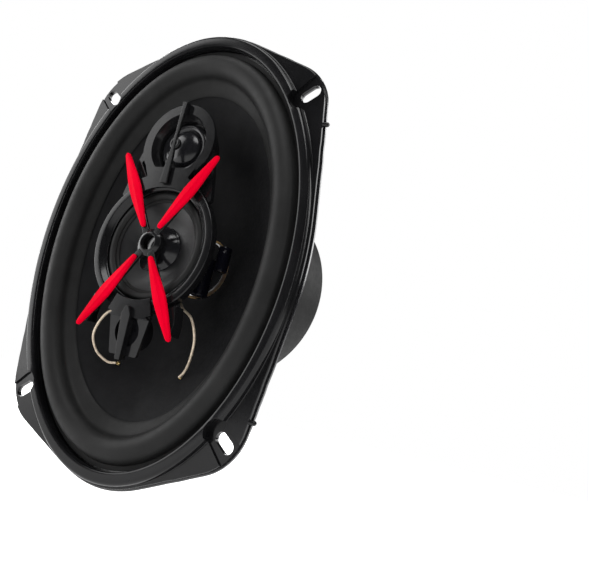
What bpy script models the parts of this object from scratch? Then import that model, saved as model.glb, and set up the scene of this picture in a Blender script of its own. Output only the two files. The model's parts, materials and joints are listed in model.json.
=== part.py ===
"""Four-way coaxial car speaker, 6x9 inch class.

The speaker stands upright: its long axis is +Z, its front faces -Y, and the
origin is the centre of the mounting flange's rear face.  Every piece is drawn
face on: x to the right, y up, and h forwards, out of the speaker's front.  An
empty called speaker_frame turns that drawing upright, so (x, y, h) lands on
(x, -h, y) in the world.  Dimensions are in millimetres.
"""

import math

import bmesh
import bpy
from mathutils import Matrix, Vector

MM = 0.001
GAP = 0.3                     # clearance kept between pieces that touch
MERGE = 0.0001                # welding distance of the modifiers, in metres

# Flange and trim, seen from the front
HALF_W, HALF_L = 82.2, 118.5  # half the overall width and length
EAR_X, EAR_Y, EAR_R = 45.3, 74.0, 27.6   # the four corner ears
SHEET = 1.2                   # thickness of the pressed steel
SLOT_X, SLOT_Y = 63.0, 83.6   # centres of the mounting slots
SLOT_LENGTH, SLOT_WIDTH = 11.0, 6.0
SLOT_ANGLE = math.radians(36)
PLATE_H, BAND_H = 3.8, 7.2    # front of the corner plates, and of the raised band
BAND_IN_A, BAND_IN_B = 74.6, 110.1
BAND_OUT_A, BAND_OUT_B = 81.4, 117.7
TRIM_BACK = SHEET + GAP
PEG_R = 1.15                  # snap pegs on the trim's right-hand edge
PEG_YS = (67.6, -72.4)

# Basket
SHOULDER_A, SHOULDER_B = 69.4, 104.4     # inside of the bowl behind the flange
SHOULDER_H = -6.0
LEDGE_R, LEDGE_H = 54.0, -39.0           # spider ledge
NECK_R = 47.8                            # inside radius of the neck
FLOOR_H = -48.8
CORE_R = 19.5

# Motor
PLATE_R, PLATE_BACK = 46.5, -56.3
MAGNET_R, MAGNET_HOLE_R, MAGNET_BACK = 50.0, 23.0, -70.6
YOKE_R, YOKE_BACK = 47.0, -76.4
POLE_R, POLE_TOP = 14.9, -49.8
BOOT_R, BOOT_FRONT, BOOT_BACK = 53.5, -51.0, -80.0
POST_R, POST_TOP = 7.0, -14.6

# Woofer
CONE_A, CONE_B, CONE_H = 60.4, 95.4, 0.9
CONE_NECK_R, CONE_NECK_H = 17.2, -33.0
CONE_CURVE = 0.92
ROLL_A, ROLL_B, ROLL_R, ROLL_H = 65.7, 100.4, 6.1, 2.0
FORMER_R = 16.0
WOOFER_EYELET = (20.3, -60.1)

# Mid-range, tweeter and super tweeter
MID_Y = -0.8
MID_R, MID_FRONT = 35.2, 11.9
TWEETER_Y = 51.9
TWEETER_R, TWEETER_FRONT = 21.5, 12.2
POD_TILT = math.radians(6.5)
POD_PIVOT = (0.0, -34.0, 12.3)
TAB_BACK, TAB_FRONT = 12.2, 13.4
HUB_FRONT = 14.2
ARM_BACK, ARM_FRONT = 12.2, 13.9
TONGUE_BACK = 8.8
BLADE_START, BLADE_END = 8.6, 53.8
BLADE_ANGLE = math.atan2(45.5, 28.7)

ROUND = 36                    # steps around the large ellipses
TURN = 22                     # steps around the medium turned pieces
SMALL = 12                    # steps around the small ones

for old in list(bpy.data.objects):
    bpy.data.objects.remove(old, do_unlink=True)

PARTS = bpy.data.collections.new("coaxial_speaker")
CUTTERS = bpy.data.collections.new("cutters")
bpy.context.scene.collection.children.link(PARTS)
bpy.context.scene.collection.children.link(CUTTERS)


def empty(name, at=(0.0, 0.0, 0.0), parent=None, turn=None):
    """An axis or a frame that pieces are parented to; at is in millimetres."""
    frame = bpy.data.objects.new(name, None)
    frame.location = Vector(at) * MM
    if turn:
        frame.rotation_euler = turn
    frame.parent = parent
    PARTS.objects.link(frame)
    return frame


FRAME = empty("speaker_frame", turn=(math.radians(90), 0.0, 0.0))
WOOFER_AXIS = empty("woofer_axis", parent=FRAME)
MID_AXIS = empty("mid_axis", (0.0, MID_Y, 0.0), FRAME)
TWEETER_AXIS = empty("tweeter_axis", (0.0, TWEETER_Y, 0.0), FRAME)
POD_FRAME = empty("pod_frame", POD_PIVOT, FRAME, (POD_TILT, 0.0, 0.0))


def paint(name, colour, roughness, metallic=0.0):
    made = bpy.data.materials.new(name)
    made.use_nodes = True
    shader = made.node_tree.nodes["Principled BSDF"]
    shader.inputs["Base Color"].default_value = (*colour, 1.0)
    shader.inputs["Roughness"].default_value = roughness
    shader.inputs["Metallic"].default_value = metallic
    return made


BLACK_STEEL = paint("black_steel", (0.018, 0.018, 0.02), 0.3, 0.2)
BLACK_PLASTIC = paint("black_plastic", (0.022, 0.022, 0.024), 0.42)
RUBBER = paint("rubber", (0.012, 0.012, 0.012), 0.6)
PAPER = paint("cone", (0.01, 0.01, 0.011), 0.7)
GLOSS = paint("dome", (0.012, 0.012, 0.014), 0.15)
RED = paint("red", (0.85, 0.01, 0.03), 0.35)
ZINC = paint("zinc", (0.55, 0.55, 0.56), 0.35, 1.0)
FERRITE = paint("ferrite", (0.05, 0.05, 0.052), 0.7)
COPPER = paint("copper", (0.55, 0.25, 0.1), 0.35, 1.0)
BRASS = paint("brass", (0.62, 0.47, 0.2), 0.3, 1.0)
CLOTH = paint("spider_cloth", (0.45, 0.3, 0.12), 0.85)
BOARD = paint("terminal_board", (0.16, 0.07, 0.03), 0.6)
LABEL = paint("label", (0.1, 0.1, 0.105), 0.35)
SLEEVE = paint("capacitor", (0.03, 0.03, 0.04), 0.2)


def add(name, mesh, finish, parent=FRAME, at=(0.0, 0.0, 0.0), turn=None):
    """A piece in the parts collection; with no finish it is a cutter."""
    piece = bpy.data.objects.new(name, mesh)
    piece.parent = parent
    piece.location = Vector(at) * MM
    if turn:
        piece.rotation_euler = turn
    if finish is None:
        piece.hide_render = True
        piece.display_type = "WIRE"
        CUTTERS.objects.link(piece)
    else:
        mesh.materials.append(finish)
        PARTS.objects.link(piece)
    return piece


def wire_mesh(name, points, closed):
    """A mesh of edges only, along (r, h) points, for the Screw modifier."""
    mesh = bpy.data.meshes.new(name)
    count = len(points)
    edges = [(i, i + 1) for i in range(count - 1)]
    if closed:
        edges.append((count - 1, 0))
    mesh.from_pydata([(r * MM, 0.0, h * MM) for r, h in points], edges, [])
    return mesh


def turned(name, profile, finish, parent=FRAME, at=(0.0, 0.0, 0.0), steps=TURN, skin=0.0):
    """A turned piece.  The profile's (r, h) points go down the outer side; a
    profile with a skin is an open line that Solidify thickens both ways."""
    closed = skin == 0.0 and profile[0][0] > 0.0
    piece = add(name, wire_mesh(name, profile, closed), finish, parent, at)
    screw = piece.modifiers.new("turn", "SCREW")
    screw.steps = steps
    screw.render_steps = steps
    screw.use_merge_vertices = True
    screw.merge_threshold = MERGE
    screw.use_smooth_shade = True
    if skin:
        thicken(piece, skin, 0.0)
    return piece


def thicken(piece, thickness, offset):
    solid = piece.modifiers.new("thickness", "SOLIDIFY")
    solid.thickness = thickness * MM
    solid.offset = offset
    solid.use_even_offset = True
    solid.use_quality_normals = True
    return solid


def cut(piece, *cutters, operation="DIFFERENCE"):
    for cutter in cutters:
        boolean = piece.modifiers.new(cutter.name, "BOOLEAN")
        boolean.operation = operation
        boolean.solver = "EXACT"
        boolean.object = cutter


def fuse(piece, *others):
    cut(piece, *others, operation="UNION")


def slab(name, outline, back, front, finish, parent=FRAME, at=(0.0, 0.0, 0.0), turn=None):
    """A flat piece: a closed (x, y) outline between two heights h."""
    curve = bpy.data.curves.new(name, "CURVE")
    curve.dimensions = "2D"
    curve.fill_mode = "BOTH"
    curve.extrude = (front - back) / 2 * MM
    line = curve.splines.new("POLY")
    line.points.add(len(outline) - 1)
    for point, (x, y) in zip(line.points, outline):
        point.co = (x * MM, y * MM, 0.0, 1.0)
    line.use_cyclic_u = True
    drawn = bpy.data.objects.new(name, curve)
    PARTS.objects.link(drawn)
    mesh = mesh_of(drawn)
    mesh.transform(Matrix.Translation((0.0, 0.0, (front + back) / 2 * MM)))
    return add(name, mesh, finish, parent, at, turn)


def mesh_of(drawn):
    """The closed mesh of a curve object, which is removed."""
    seen = drawn.evaluated_get(bpy.context.evaluated_depsgraph_get())
    mesh = bpy.data.meshes.new_from_object(seen)
    curve = drawn.data
    bpy.data.objects.remove(drawn, do_unlink=True)
    bpy.data.curves.remove(curve)
    shape = bmesh.new()
    shape.from_mesh(mesh)
    bmesh.ops.remove_doubles(shape, verts=shape.verts, dist=1e-6)
    shape.to_mesh(mesh)
    shape.free()
    mesh.materials.clear()
    return mesh


def tube(name, route, radius, finish, parent=FRAME, per_point=4):
    """A wire: a smooth curve through the route's (x, y, h) points."""
    line_points = smooth_route(route, per_point)
    curve = bpy.data.curves.new(name, "CURVE")
    curve.dimensions = "3D"
    curve.bevel_depth = radius * MM
    curve.bevel_resolution = 2
    curve.use_fill_caps = True
    line = curve.splines.new("POLY")
    line.points.add(len(line_points) - 1)
    for point, place in zip(line.points, line_points):
        point.co = (*(place * MM), 1.0)
    drawn = bpy.data.objects.new(name, curve)
    PARTS.objects.link(drawn)
    return add(name, mesh_of(drawn), finish, parent)


def smooth_route(route, per_point):
    """Catmull-Rom points through a route."""
    knots = [Vector(p) for p in route]
    knots = [knots[0] * 2 - knots[1]] + knots + [knots[-1] * 2 - knots[-2]]
    points = []
    for a, b, c, d in zip(knots, knots[1:], knots[2:], knots[3:]):
        for step in range(per_point):
            t = step / per_point
            points.append(0.5 * (2 * b + (c - a) * t + (2 * a - 5 * b + 4 * c - d) * t ** 2
                                 + (3 * b - a - 3 * c + d) * t ** 3))
    points.append(knots[-2])
    return points


def skin_of(name, loops, finish, parent=FRAME, closed=False):
    """A loft through rows of points; a closed one ends on its first row."""
    mesh = bpy.data.meshes.new(name)
    around = len(loops[0])
    rows = len(loops)
    points = [(x * MM, y * MM, h * MM) for row in loops for x, y, h in row]
    faces = []
    for row in range(rows if closed else rows - 1):
        below = (row + 1) % rows
        for i in range(around):
            j = (i + 1) % around
            faces.append((row * around + i, row * around + j, below * around + j, below * around + i))
    mesh.from_pydata(points, [], faces)
    mesh.shade_smooth()
    mesh.set_sharp_from_angle(angle=math.radians(35))
    return add(name, mesh, finish, parent)


def turn_steps(count):
    return [2 * math.pi * i / count for i in range(count)]


def ellipse(a, b, h, steps=ROUND):
    return [(a * math.cos(t), b * math.sin(t), h) for t in turn_steps(steps)]


def arc(x, y, radius, start, end, steps):
    """(x, y) points along an arc between two angles in degrees."""
    turns = [math.radians(start + (end - start) * i / steps) for i in range(steps + 1)]
    return [(x + radius * math.cos(t), y + radius * math.sin(t)) for t in turns]


def mirrored(outline):
    """A closed outline from its right half, listed from bottom to top."""
    return outline + [(-x, y) for x, y in reversed(outline) if x > 0.01]


def flange_reach(theta):
    """Distance from the centre to the flange's edge at a polar angle.  The edge
    is the hull of an ellipse and four corner circles, found from its support."""
    best = 1e9
    for step in range(-80, 81):
        lean = math.radians(step)
        across, along = abs(math.cos(theta + lean)), abs(math.sin(theta + lean))
        oval = math.hypot(HALF_W * across, HALF_L * along)
        ear = EAR_X * across + EAR_Y * along + EAR_R
        best = min(best, max(oval, ear) / math.cos(lean))
    return best


def flange_loop(inset, h):
    loop = []
    for t in turn_steps(ROUND):
        theta = math.atan2(HALF_L * math.sin(t), HALF_W * math.cos(t))
        reach = flange_reach(theta) - inset
        loop.append((reach * math.cos(theta), reach * math.sin(theta), h))
    return loop


def blend(a, b, share):
    return a + (b - a) * share


def corners():
    """The four corners as sign pairs."""
    return [(sx, sy) for sx in (-1, 1) for sy in (-1, 1)]


def oblong(length, width, steps=5):
    """A slot outline along x: straight sides and round ends."""
    half, radius = (length - width) / 2, width / 2
    return arc(half, 0, radius, -90, 90, steps) + arc(-half, 0, radius, 90, 270, steps)


def slot_cutters(piece, name):
    for sx, sy in corners():
        turn = (0.0, 0.0, sx * sy * SLOT_ANGLE)
        cutter = slab(f"{name}_slot_{sx}_{sy}", oblong(SLOT_LENGTH, SLOT_WIDTH), -4.0, 12.0, None,
                      at=(sx * SLOT_X, sy * SLOT_Y, 0.0), turn=turn)
        cut(piece, cutter)


# ---------------------------------------------------------------- basket

def window_outline(narrow, wide, near, far, radius=6.0):
    """A trapezoid with round corners; y runs from near to far."""
    return mirrored([(narrow / 2 - radius, near), (narrow / 2, near + radius),
                     (wide / 2, far - radius), (wide / 2 - radius, far)])


def basket():
    loops = [flange_loop(0.0, SHEET), ellipse(76.0, 111.0, SHEET), ellipse(71.0, 106.0, SHEET),
             ellipse(69.9, 104.9, 0.3), ellipse(SHOULDER_A, SHOULDER_B, -1.5)]
    for step in range(6):
        share = step / 5
        narrowing = share ** 1.25
        loops.append(ellipse(blend(SHOULDER_A, LEDGE_R, narrowing), blend(SHOULDER_B, LEDGE_R, narrowing),
                             blend(SHOULDER_H, LEDGE_H, share)))
    loops += [ellipse(NECK_R, NECK_R, LEDGE_H - 0.1), ellipse(NECK_R, NECK_R, -46.4),
              ellipse(45.6, 45.6, FLOOR_H), ellipse(CORE_R, CORE_R, FLOOR_H)]
    piece = skin_of("basket_frame", loops, BLACK_STEEL)
    thicken(piece, SHEET, -1.0)
    side = window_outline(54.0, 96.0, -36.0, -9.0)
    for sx in (-1, 1):
        turn = (math.radians(90), 0.0, sx * math.radians(90))
        cut(piece, slab(f"side_window_{sx}", side, 34.0, 90.0, None, turn=turn))
    end = window_outline(40.0, 62.0, 66.0, 97.0)
    for sy in (-1, 1):
        turn = (0.0, 0.0, 0.0 if sy > 0 else math.pi)
        cut(piece, slab(f"end_window_{sy}", end, -46.0, -2.5, None, turn=turn))
    slot_cutters(piece, "basket")
    for index, (x, y) in enumerate(rivet_places()):
        hole = [(0.0, -46.0), (2.4, -46.0), (2.4, -52.0), (0.0, -52.0)]
        cut(piece, turned(f"rivet_hole_{index}", hole, None, at=(x, y, 0.0), steps=SMALL))


def rivet_places():
    return arc(0, 0, 37.0, 45, 315, 3)


def trim_ring():
    """Moulded ring over the flange: raised band, lower corner plates, recessed
    channels around the slots, and two snap pegs on its right-hand edge."""
    edge = 0.9
    loops = [flange_loop(edge, TRIM_BACK), flange_loop(edge, PLATE_H - 0.4), flange_loop(edge + 0.4, PLATE_H),
             ellipse(BAND_OUT_A - edge, BAND_OUT_B - edge, PLATE_H),
             ellipse(BAND_OUT_A - edge - 0.5, BAND_OUT_B - edge - 0.5, 5.9),
             ellipse(BAND_OUT_A - edge - 2.0, BAND_OUT_B - edge - 2.0, BAND_H),
             ellipse(BAND_IN_A + 0.8, BAND_IN_B + 0.8, BAND_H),
             ellipse(BAND_IN_A, BAND_IN_B, BAND_H - 0.8), ellipse(BAND_IN_A, BAND_IN_B, TRIM_BACK)]
    piece = skin_of("trim_ring", loops[::-1], BLACK_PLASTIC, closed=True)
    for sx, sy in corners():
        turn = (0.0, 0.0, math.atan2(sy, sx))
        channel = slab(f"channel_{sx}_{sy}", oblong(40.0, 12.5), 2.7, 12.0, None,
                       at=(sx * (SLOT_X + 6.5), sy * (SLOT_Y + 6.5), 0.0), turn=turn)
        cut(piece, channel)
    peg_profile = [(0.0, 2.6), (0.7, 2.4), (PEG_R, 1.7), (PEG_R, -3.0), (0.0, -3.0)]
    for peg_y in PEG_YS:
        peg = turned(f"peg_{peg_y:.0f}", peg_profile, None,
                     at=(flange_x(peg_y), peg_y, TRIM_BACK + PEG_R), steps=10)
        peg.rotation_euler = (0.0, math.pi / 2, 0.0)
        fuse(piece, peg)
    slot_cutters(piece, "trim")


def flange_x(y):
    """Half-width of the flange at a height y."""
    low, high = 0.0, math.pi / 2
    for _ in range(30):
        middle = (low + high) / 2
        if flange_reach(middle) * math.sin(middle) < abs(y):
            low = middle
        else:
            high = middle
    return flange_reach(low) * math.cos(low)


# ---------------------------------------------------------------- woofer

def cone_loop(share, lift=0.0, steps=ROUND):
    """A row of the cone's front surface, from its edge (0) to its neck (1)."""
    h = blend(CONE_H, CONE_NECK_H, share ** CONE_CURVE)
    return ellipse(blend(CONE_A, CONE_NECK_R, share), blend(CONE_B, CONE_NECK_R, share), h + lift, steps)


def surround():
    loops = [ellipse(74.0, 109.5, 1.9), ellipse(ROLL_A + ROLL_R + 0.3, ROLL_B + ROLL_R + 0.3, 1.9)]
    for step in range(1, 7):
        t = math.pi * step / 7
        reach = ROLL_R * math.cos(t)
        loops.append(ellipse(ROLL_A + reach, ROLL_B + reach, ROLL_H + ROLL_R * math.sin(t)))
    loops += [cone_loop(0.02, 1.6), cone_loop(0.04, 0.95), cone_loop(0.11, 0.95)]
    thicken(skin_of("surround", loops, RUBBER), 0.7, 0.0)


def woofer():
    body = skin_of("woofer_cone", [cone_loop(s / 5) for s in range(6)], PAPER, WOOFER_AXIS)
    thicken(body, 1.0, -1.0)
    for sx in (-1, 1):
        hole = turned(f"lead_hole_{sx}", [(0.0, -5.0), (1.3, -5.0), (1.3, -20.0), (0.0, -20.0)], None,
                      WOOFER_AXIS, (sx * WOOFER_EYELET[0], WOOFER_EYELET[1], 0.0), 12)
        cut(body, hole)
        side = "left" if sx < 0 else "right"
        rivet = [(0.0, -11.9), (1.0, -11.9), (1.0, -15.6), (0.0, -15.6)]
        eyelet_at = (sx * WOOFER_EYELET[0], WOOFER_EYELET[1], 0.0)
        turned(f"lead_eyelet_{side}", rivet, BRASS, WOOFER_AXIS, eyelet_at, SMALL)
    tube_wall = [(FORMER_R - 0.4, -31.5), (FORMER_R, -31.5), (FORMER_R, -60.0), (FORMER_R - 0.4, -60.0)]
    turned("voice_coil_former", tube_wall, BRASS, WOOFER_AXIS)
    winding = [(FORMER_R + GAP, -48.0), (FORMER_R + 1.0, -48.0), (FORMER_R + 1.0, -59.0),
               (FORMER_R + GAP, -59.0)]
    turned("voice_coil", winding, COPPER, WOOFER_AXIS)
    collar = [(8.6, -29.6), (FORMER_R - 0.7, -31.6), (FORMER_R - 0.7, -33.0), (8.6, -31.0)]
    turned("dust_collar", collar, PAPER, WOOFER_AXIS)


def spider():
    """Corrugated centring disc from the coil former to the basket's ledge."""
    line = [(FORMER_R + GAP + 0.3, -36.6), (FORMER_R + 1.2, -37.8)]
    waves, per_wave, start, end = 2, 4, 19.0, 46.5
    for step in range(waves * per_wave + 1):
        share = step / (waves * per_wave)
        swing = math.sin(2 * math.pi * waves * share)
        line.append((blend(start, end, share), -37.6 + 1.3 * swing))
    line += [(48.6, -38.35), (52.6, -38.35)]
    turned("spider", line, CLOTH, skin=0.6)


# ---------------------------------------------------------------- motor

def motor():
    plate = [(FORMER_R + 1.8, FLOOR_H - SHEET - GAP), (PLATE_R, FLOOR_H - SHEET - GAP),
             (PLATE_R, PLATE_BACK), (FORMER_R + 1.8, PLATE_BACK)]
    top = turned("top_plate", plate, ZINC)
    for index, (x, y) in enumerate(rivet_places()):
        cut(top, turned(f"plate_hole_{index}", [(0.0, -48.0), (2.4, -48.0), (2.4, -60.0), (0.0, -60.0)], None,
                        at=(x, y, 0.0), steps=12))
        rivet = [(0.0, -47.2), (2.6, -47.4), (3.6, -48.2), (3.6, FLOOR_H + GAP), (2.0, FLOOR_H + GAP),
                 (2.0, PLATE_BACK), (0.0, PLATE_BACK)]
        turned(f"basket_rivet_{index + 1}", rivet, BLACK_STEEL, at=(x, y, 0.0), steps=12)
    front = PLATE_BACK - GAP
    ring = [(MAGNET_HOLE_R, front), (MAGNET_R - 0.6, front), (MAGNET_R, front - 0.6),
            (MAGNET_R, MAGNET_BACK + 0.6), (MAGNET_R - 0.6, MAGNET_BACK), (MAGNET_HOLE_R, MAGNET_BACK)]
    turned("ferrite_magnet", ring, FERRITE)
    front = MAGNET_BACK - GAP
    yoke = [(3.2, POLE_TOP), (POLE_R - 0.5, POLE_TOP), (POLE_R, POLE_TOP - 0.5), (POLE_R, front),
            (YOKE_R, front), (YOKE_R, YOKE_BACK), (5.8, YOKE_BACK), (5.8, YOKE_BACK + 3.6),
            (3.2, YOKE_BACK + 3.6)]
    turned("back_yoke", yoke, ZINC)
    post = [(2.9, POST_TOP), (POST_R - 0.4, POST_TOP), (POST_R, POST_TOP - 0.4), (POST_R, POLE_TOP + GAP),
            (2.9, POLE_TOP + GAP)]
    turned("centre_post", post, ZINC, steps=SMALL)
    head = YOKE_BACK + 3.6 - GAP
    bolt = [(0.0, -30.0), (2.5, -30.0), (2.5, head), (5.2, head), (5.2, head - 2.6), (0.0, head - 2.6)]
    turned("post_bolt", bolt, ZINC, steps=SMALL)
    boot = [(MAGNET_R + 0.4, BOOT_FRONT), (BOOT_R - 0.8, BOOT_FRONT), (BOOT_R, BOOT_FRONT - 0.8),
            (BOOT_R, BOOT_BACK + 5.0), (BOOT_R - 3.0, BOOT_BACK + 0.6), (BOOT_R - 4.0, BOOT_BACK),
            (BOOT_R - 6.0, BOOT_BACK), (BOOT_R - 7.0, BOOT_BACK + 0.9), (BOOT_R - 7.0, YOKE_BACK - GAP),
            (MAGNET_R + 0.4, YOKE_BACK - GAP)]
    turned("magnet_boot", boot, RUBBER, steps=28)
    label = [(0.0, YOKE_BACK - GAP), (45.8, YOKE_BACK - GAP), (45.8, YOKE_BACK - 0.9), (0.0, YOKE_BACK - 0.9)]
    turned("rear_label", label, LABEL, steps=28)


# ---------------------------------------------------------------- terminals

def terminals():
    """A board riveted on the basket's lower end, over the end window."""
    slope = math.atan2(33.0, 50.0)
    seat = empty("terminal_seat", (0.0, -59.4, -41.6), FRAME, (math.pi - slope, 0.0, 0.0))
    board = slab("terminal_board", window_outline(34.0, 34.0, -5.0, 5.0, 1.5), 0.6, 2.2, BOARD, seat)
    for sx, polarity, width in ((-1, "positive", 6.3), (1, "negative", 4.8)):
        x = sx * 9.0
        hole = [(0.0, 4.0), (1.5, 4.0), (1.5, -1.0), (0.0, -1.0)]
        cut(board, turned(f"board_hole_{polarity}", hole, None, seat, (x, 0.0, 0.0), SMALL))
        half = width / 2
        outline = [(half, -2.6), (half, 15.0), (half - 1.4, 17.0), (-half + 1.4, 17.0), (-half, 15.0),
                   (-half, -2.6)]
        tab = slab(f"terminal_{polarity}", outline, 2.5, 3.3, BRASS, seat, (x, 0.0, 0.0))
        for y, radius in ((0.0, 1.5), (12.5, 0.9)):
            cut(tab, turned(f"tab_hole_{polarity}_{y:.0f}",
                            [(0.0, 4.5), (radius, 4.5), (radius, 1.8), (0.0, 1.8)], None, seat,
                            (x, y, 0.0), SMALL))
        rivet = [(0.0, 4.6), (1.6, 4.4), (2.3, 3.6), (1.2, 3.6), (1.2, 0.8), (0.0, 0.8)]
        turned(f"terminal_rivet_{polarity}", rivet, ZINC, seat, (x, 0.0, 0.0), 12)


def leads():
    """Braided leads: the front pair feeds the small drivers, the rear pair
    joins the terminals to the cone."""
    eye_x, eye_y = WOOFER_EYELET
    left = [(-11.0, -27.0, -4.5), (-17.0, -32.5, 1.0), (-25.5, -38.5, 1.5), (-31.0, -48.5, -0.5),
            (-29.5, -56.5, -4.5), (-24.5, -60.4, -8.6), (-eye_x - 0.4, eye_y, -10.9)]
    right = [(12.0, -24.8, -8.5), (17.0, -27.8, -4.5), (24.5, -32.0, -3.0), (28.5, -41.0, -4.0),
             (27.0, -50.5, -7.0), (23.5, -57.0, -10.0), (eye_x + 0.3, eye_y, -10.9)]
    tube("front_lead_left", left, 0.65, BRASS)
    tube("front_lead_right", right, 0.65, BRASS)
    for sx, polarity in ((-1, "positive"), (1, "negative")):
        route = [(sx * 9.0, -71.5, -33.5), (sx * 10.0, -73.5, -29.0), (sx * 14.5, -72.0, -23.5),
                 (sx * 19.0, -66.5, -19.5), (sx * 20.4, -61.6, -18.2), (sx * eye_x, eye_y, -16.6)]
        tube(f"rear_lead_{polarity}", route, 0.7, BRASS)


# ---------------------------------------------------------------- mid-range

def mid_range():
    at = (0.0, MID_Y, 0.0)
    shell = [(31.6, MID_FRONT), (34.8, MID_FRONT), (MID_R, MID_FRONT - 0.4), (35.0, 7.0), (32.5, 5.4),
             (25.0, -5.5),
             (17.5, -14.3), (4.2, -14.3), (4.2, -12.5), (16.5, -12.5), (23.4, -4.8), (29.4, 4.8), (30.6, 6.4),
             (30.6, 8.7), (28.6, 8.7), (28.6, 9.6)]
    turned("mid_housing", shell, BLACK_PLASTIC, at=at, steps=28)
    roll = [(23.6, 7.75), (24.9, 8.2), (25.5, 9.1), (26.6, 9.5), (27.8, 8.8), (28.2, 7.4), (30.2, 7.2)]
    turned("mid_surround", roll, RUBBER, at=at, skin=0.5)
    turned("mid_cone", [(7.9, 0.4), (10.5, 2.2), (17.5, 4.9), (24.8, 7.2)], PAPER, MID_AXIS, skin=0.6)
    dome = [(10.8 * math.sin(t), 3.5 + 3.9 * math.cos(t)) for t in [math.pi / 2 * i / 4 for i in range(5)]]
    turned("mid_dust_cap", dome, GLOSS, MID_AXIS, skin=0.5)
    turned("mid_coil", [(6.7, -1.2), (7.3, -1.2), (7.3, -7.5), (6.7, -7.5)], COPPER, MID_AXIS, steps=SMALL)
    pot = [(8.4, -3.0), (14.0, -3.0), (14.0, -12.2), (0.0, -12.2)]
    turned("mid_yoke", [(0.0, -10.2), (8.4, -10.2)] + pot, ZINC, at=at, steps=SMALL)
    turned("mid_magnet", [(0.0, -5.6), (6.1, -5.6), (6.1, -9.9), (0.0, -9.9)], FERRITE, at=at, steps=SMALL)
    turned("mid_pole_plate", [(0.0, -3.0), (6.2, -3.0), (6.2, -5.3), (0.0, -5.3)], ZINC, at=at, steps=SMALL)


def along_arm(r, side, angle):
    """A point at distance r along an arm, side millimetres to its left."""
    return (r * math.cos(angle) - side * math.sin(angle),
            MID_Y + r * math.sin(angle) + side * math.cos(angle))


def arm_angles():
    return {"upper_right": BLADE_ANGLE, "upper_left": math.pi - BLADE_ANGLE,
            "lower_left": math.pi + BLADE_ANGLE, "lower_right": -BLADE_ANGLE}


def bridge():
    """The black cross in front of the mid-range: hub ring and tongue, four
    arms, and a ribbed web under the end of each lower arm."""
    hub = [(4.1, HUB_FRONT), (4.7, HUB_FRONT), (7.0, 13.1), (6.6, TONGUE_BACK), (4.1, TONGUE_BACK)]
    piece = turned("bridge", hub, BLACK_PLASTIC, at=(0.0, MID_Y, 0.0), steps=SMALL)
    for name, angle in arm_angles().items():
        edge = ((5.3, -1.9), (45.0, -1.7), (46.5, 0.0), (45.0, 1.7), (5.3, 1.9))
        outline = [along_arm(r, side, angle) for r, side in edge]
        fuse(piece, slab(f"arm_{name}", outline, ARM_BACK, ARM_FRONT, None))
    plate = [(20.2, -32.0), (25.3, -29.2), (27.2, -37.4), (26.9, -43.6), (25.4, -43.6)]
    rib = [(24.0, -29.6), (25.3, -29.2), (27.2, -37.4), (26.9, -43.6), (25.5, -43.6), (25.8, -37.4)]
    for sx in (-1, 1):
        for name, web, back, front in (("plate", plate, 10.6, ARM_BACK + 0.4), ("rib", rib, 5.5, 11.0)):
            fuse(piece, slab(f"web_{name}_{sx}", [(sx * x, y) for x, y in web], back, front, None))
    tongue = mirrored([(0.0, -14.2), (2.8, -13.7), (4.6, -12.0), (5.2, -9.6), (5.2, -5.0)])
    fuse(piece, slab("tongue", tongue, TONGUE_BACK, TONGUE_BACK + 1.7, None))


def blades():
    middle = blend(BLADE_START, BLADE_END, 0.52)
    for name, angle in arm_angles().items():
        sides = [(BLADE_START, -0.7), (BLADE_START + 1.0, -1.3), (middle - 6.0, -3.1), (middle, -3.5),
                 (middle + 6.0, -3.1), (BLADE_END - 1.2, -1.4), (BLADE_END, -0.6)]
        sides += [(r, -side) for r, side in reversed(sides)]
        outline = [along_arm(r, side, angle) for r, side in sides]
        slab(f"red_blade_{name}", outline, ARM_FRONT + GAP, ARM_FRONT + GAP + 1.5, RED)


# ---------------------------------------------------------------- tweeter

def tab_outline(sign, half_angle, inner, outer, foot):
    """A ring segment over the mid-range's bezel, with a foot beyond it."""
    middle = sign * 90
    inside = arc(0, MID_Y, inner, middle - half_angle, middle + half_angle, 6)
    outside = arc(0, MID_Y, outer, middle + half_angle, middle + half_angle * 0.75, 2)
    mirrored_side = arc(0, MID_Y, outer, middle - half_angle * 0.75, middle - half_angle, 2)
    width = 0.93 * outer * math.sin(math.radians(half_angle))
    reach = [(-width * sign, foot), (width * sign, foot)]
    return inside + outside + reach + mirrored_side


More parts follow.
